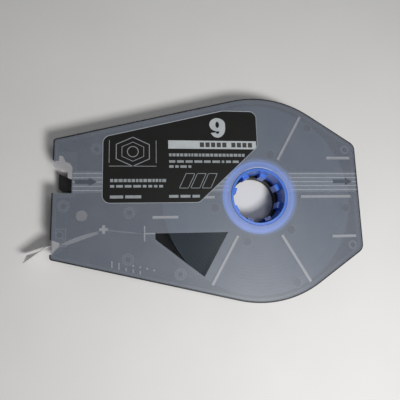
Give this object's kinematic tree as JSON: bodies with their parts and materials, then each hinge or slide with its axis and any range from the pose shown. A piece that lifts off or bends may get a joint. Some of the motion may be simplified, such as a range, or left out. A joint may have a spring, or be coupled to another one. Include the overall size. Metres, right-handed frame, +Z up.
{
  "type": "label tape cassette",
  "caption": "Flat cassette with a black tray, a see-through smoke cover and a turning reel of label tape that leaves through a slot at the narrow end.",
  "frame": {"origin": "on the reel's axis, at the underside of the tray", "axes": "+Z up through the cover, +X along the cassette from the tape exit to the round end, +Y to the side with the label"},
  "size_m": [0.1379, 0.0852, 0.0142],
  "materials": {
    "black_tray": "moulded, fine matt grain",
    "smoke_cover": "smoke tint, frosted, see-through",
    "label_film": "satin printed film",
    "blue_reel": "moulded, glossy",
    "tape_side": "edges of wound tape",
    "tape_film": "satin white tape"
  },
  "bodies": {
    "case": {"bottom_tray": "black_tray", "top_cover": "smoke_cover", "label_panel": "label_film", "tape_lead": "tape_film"},
    "reel": {"reel_core": "blue_reel", "tape_roll": "tape_side"}
  },
  "joints": [
    {"name": "reel_spin", "type": "hinge", "parent": "case", "child": "reel", "pos_m": [0, 0, 0.007], "axis": [0, 0, 1], "continuous": true}
  ]
}
